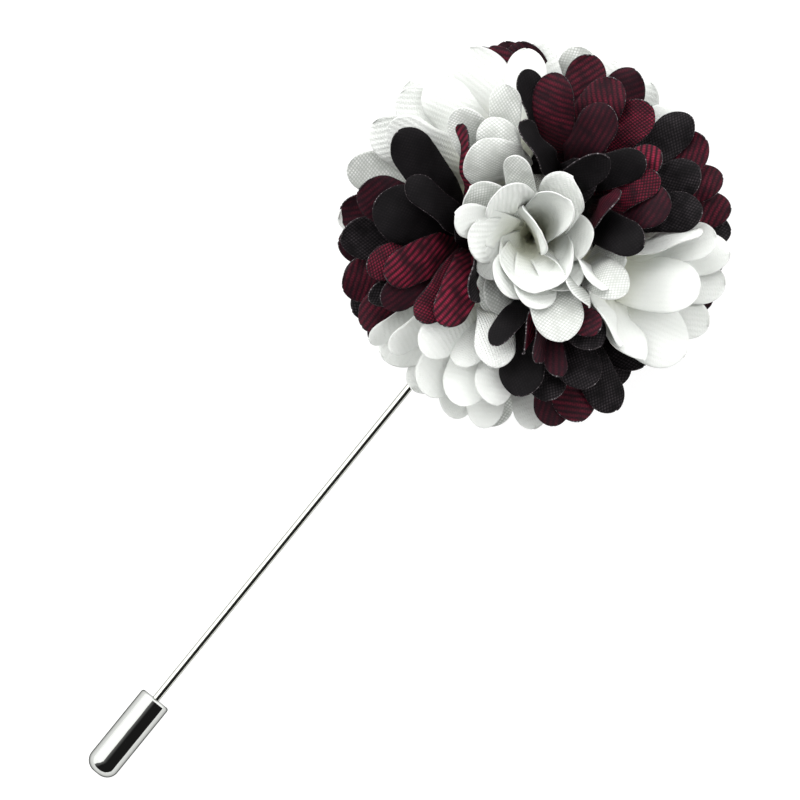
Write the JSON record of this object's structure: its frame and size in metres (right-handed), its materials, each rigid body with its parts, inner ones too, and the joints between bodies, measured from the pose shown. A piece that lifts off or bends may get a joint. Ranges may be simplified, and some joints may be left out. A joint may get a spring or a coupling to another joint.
{
  "type": "flower lapel pin",
  "caption": "Domed flower of folded ribbon florets in white and burgundy, on a felt-backed metal stick pin with a push-on clutch over its point.",
  "frame": {"origin": "centre of the felt disc's back face, on the flower's axis", "axes": "+Z out of the flower's face; the stick runs along -Y to its clutch; the pin lies at z = 0 on its felt and its clutch"},
  "size_m": [0.0426, 0.0943, 0.0261],
  "materials": {
    "white_ribbon": "ribbed grosgrain ribbon, heat-cut edges, soft matt sheen",
    "burgundy_ribbon": "ribbed shot ribbon, deep red over black, near-black reverse, heat-cut edges",
    "felt": "black felt",
    "stick_metal": "bright plated steel",
    "clutch_metal": "mirror-bright plated metal"
  },
  "bodies": {
    "pin": {"centre_floret": "white_ribbon", "front_floret_1": "white_ribbon", "front_floret_2": "burgundy_ribbon", "front_floret_3": "burgundy_ribbon", "front_floret_4": "white_ribbon", "front_floret_5": "burgundy_ribbon", "front_floret_6": "white_ribbon", "front_floret_7": "burgundy_ribbon", "back_floret_1": "burgundy_ribbon", "back_floret_2": "white_ribbon", "back_floret_3": "burgundy_ribbon", "back_floret_4": "burgundy_ribbon", "back_floret_5": "white_ribbon", "back_floret_6": "burgundy_ribbon", "back_floret_7": "white_ribbon", "felt_back": "felt", "stick_pin": "stick_metal"},
    "clutch": {"clutch": "clutch_metal"}
  },
  "joints": [
    {"name": "clutch_slide", "type": "slide", "parent": "pin", "child": "clutch", "axis": [0, -1, 0], "range_m": [0, 0.012]}
  ]
}
